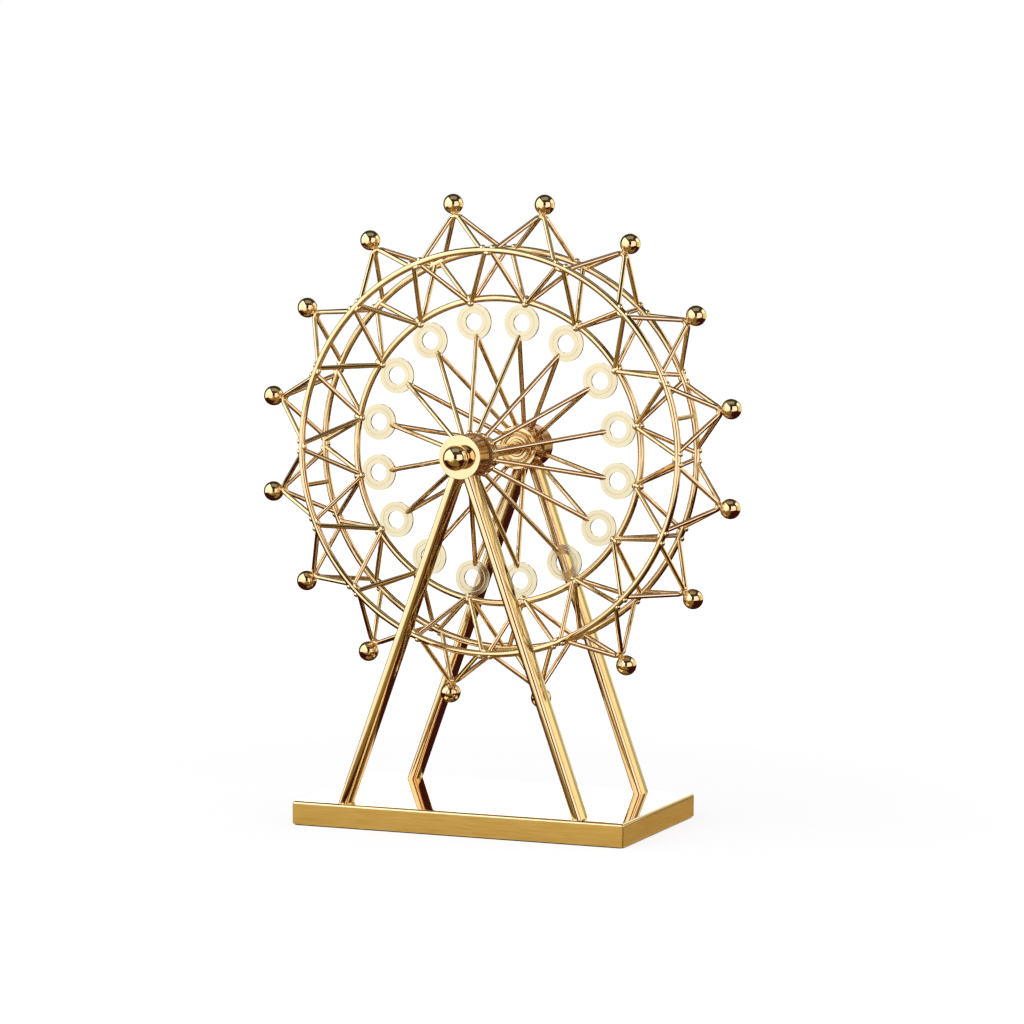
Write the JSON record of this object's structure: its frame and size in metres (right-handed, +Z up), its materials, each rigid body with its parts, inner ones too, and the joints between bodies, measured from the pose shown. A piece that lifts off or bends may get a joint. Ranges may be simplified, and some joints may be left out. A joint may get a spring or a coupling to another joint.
{
  "type": "desk ferris wheel ornament",
  "caption": "Gilt wire ferris wheel desk ornament. Its wheel, with ring discs and ball tips, turns freely on ball bearings between A-shaped side frames on a flat felted base.",
  "frame": {"origin": "centre of the base's underside, on the table", "axes": "+Z up, -Y towards the viewer and along the axle, +X to the right"},
  "size_m": [0.301, 0.1436, 0.37],
  "materials": {
    "polished_gold": "mirror polished gold plating",
    "satin_gold": "gold plated sheet, finely brushed sides and bright top",
    "bearing_steel": "ground and polished bearing steel",
    "fibre_board": "raw medium density fibre board",
    "dark_felt": "pressed felt"
  },
  "bodies": {
    "stand": {"base_cover": "satin_gold", "base_board": "fibre_board", "base_felt": "dark_felt", "leg_front_left": "polished_gold", "leg_front_right": "polished_gold", "leg_back_left": "polished_gold", "leg_back_right": "polished_gold", "frame_drum_front": "polished_gold", "frame_drum_back": "polished_gold", "axle": "polished_gold", "ball_nut_front": "polished_gold", "ball_nut_back": "polished_gold", "axle_spacers": "polished_gold", "bearing_inner_rings": "polished_gold"},
    "wheel": {"hub_drum_front": "polished_gold", "hub_drum_back": "polished_gold", "bearing_outer_rings": "polished_gold", "bearing_balls": "bearing_steel", "bearing_shields": "polished_gold", "inner_ring": "polished_gold", "rim_front": "polished_gold", "rim_back": "polished_gold", "rim_rungs": "polished_gold", "spokes_front": "polished_gold", "spokes_back": "polished_gold", "web_struts": "polished_gold", "tip_vees_front": "polished_gold", "tip_vees_back": "polished_gold", "tip_ball_01": "polished_gold", "tip_ball_02": "polished_gold", "tip_ball_03": "polished_gold", "tip_ball_04": "polished_gold", "tip_ball_05": "polished_gold", "tip_ball_06": "polished_gold", "tip_ball_07": "polished_gold", "tip_ball_08": "polished_gold", "tip_ball_09": "polished_gold", "tip_ball_10": "polished_gold", "tip_ball_11": "polished_gold", "tip_ball_12": "polished_gold", "tip_ball_13": "polished_gold", "tip_ball_14": "polished_gold", "tip_ball_15": "polished_gold", "tip_ball_16": "polished_gold", "ring_disc_01": "polished_gold", "ring_disc_02": "polished_gold", "ring_disc_03": "polished_gold", "ring_disc_04": "polished_gold", "ring_disc_05": "polished_gold", "ring_disc_06": "polished_gold", "ring_disc_07": "polished_gold", "ring_disc_08": "polished_gold", "ring_disc_09": "polished_gold", "ring_disc_10": "polished_gold", "ring_disc_11": "polished_gold", "ring_disc_12": "polished_gold", "ring_disc_13": "polished_gold", "ring_disc_14": "polished_gold", "ring_disc_15": "polished_gold", "ring_disc_16": "polished_gold"}
  },
  "joints": [
    {"name": "wheel_spin", "type": "hinge", "parent": "stand", "child": "wheel", "pos_m": [0, 0, 0.2195], "axis": [0, 1, 0], "continuous": true}
  ]
}
